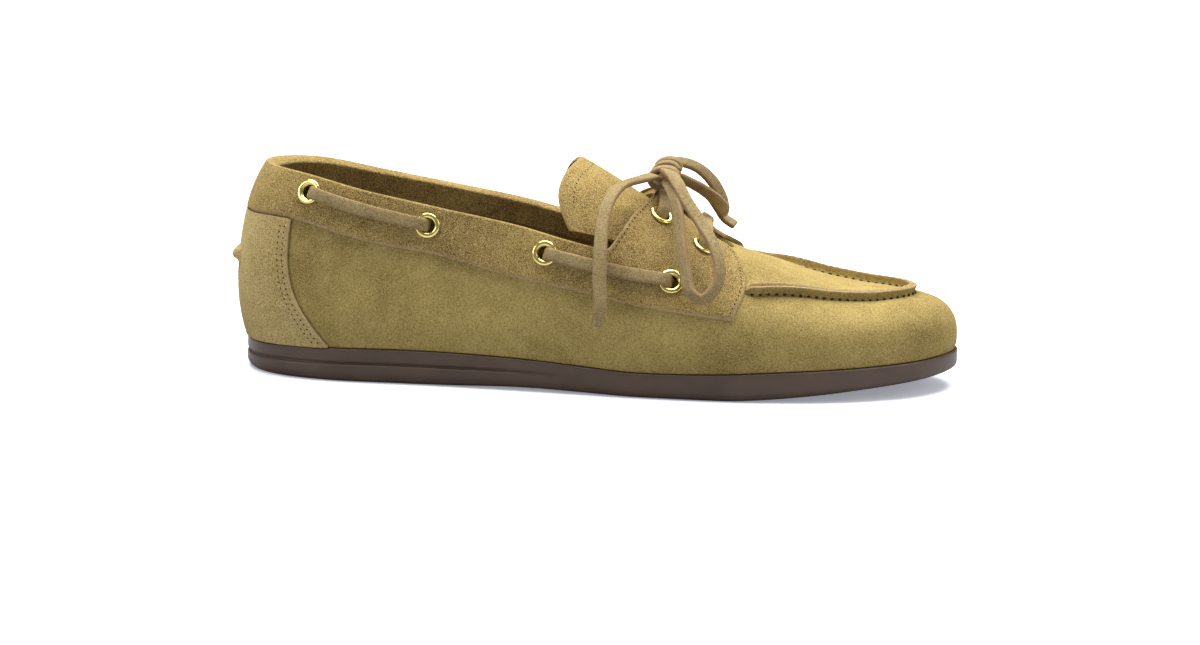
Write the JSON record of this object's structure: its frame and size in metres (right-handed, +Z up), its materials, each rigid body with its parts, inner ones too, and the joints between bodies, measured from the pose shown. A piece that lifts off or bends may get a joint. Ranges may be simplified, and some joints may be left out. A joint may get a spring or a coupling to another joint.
{
  "type": "slip-on shoe",
  "caption": "Right slip-on moccasin: hollow suede upper with a raised apron seam, laced collar band tied in a bow over a wide tongue, and a thin rubber sole with toe spring.",
  "frame": {"origin": "middle of the heel's flat resting face on the floor", "axes": "+X to the toe, +Z up, -Y to the outer (lateral) side"},
  "size_m": [0.2587, 0.0945, 0.0783],
  "materials": {
    "suede": "matte",
    "band_suede": "matte",
    "lace_suede": "matte",
    "insole_leather": "satin",
    "rubber": "satin",
    "brass": "polished"
  },
  "bodies": {
    "root": {"collar_band": "band_suede", "collar_lining": "band_suede", "eyelet_lateral_1": "brass", "eyelet_lateral_2": "brass", "eyelet_lateral_3": "brass", "eyelet_lateral_4": "brass", "eyelet_lateral_front": "brass", "eyelet_lateral_top": "brass", "eyelet_medial_1": "brass", "eyelet_medial_2": "brass", "eyelet_medial_3": "brass", "eyelet_medial_4": "brass", "eyelet_medial_front": "brass", "eyelet_medial_top": "brass", "heel_counter": "suede", "heel_tab": "suede", "insole": "insole_leather", "lace_end_far": "lace_suede", "lace_end_near": "lace_suede", "lace_knot": "lace_suede", "lace_lateral_1_2": "lace_suede", "lace_lateral_3_4": "lace_suede", "lace_loop_far": "lace_suede", "lace_loop_near": "lace_suede", "lace_medial_1_2": "lace_suede", "lace_medial_3_4": "lace_suede", "lace_throat_front": "lace_suede", "lace_throat_top": "lace_suede", "outsole": "rubber", "tongue": "band_suede", "upper": "suede"}
  },
  "joints": []
}
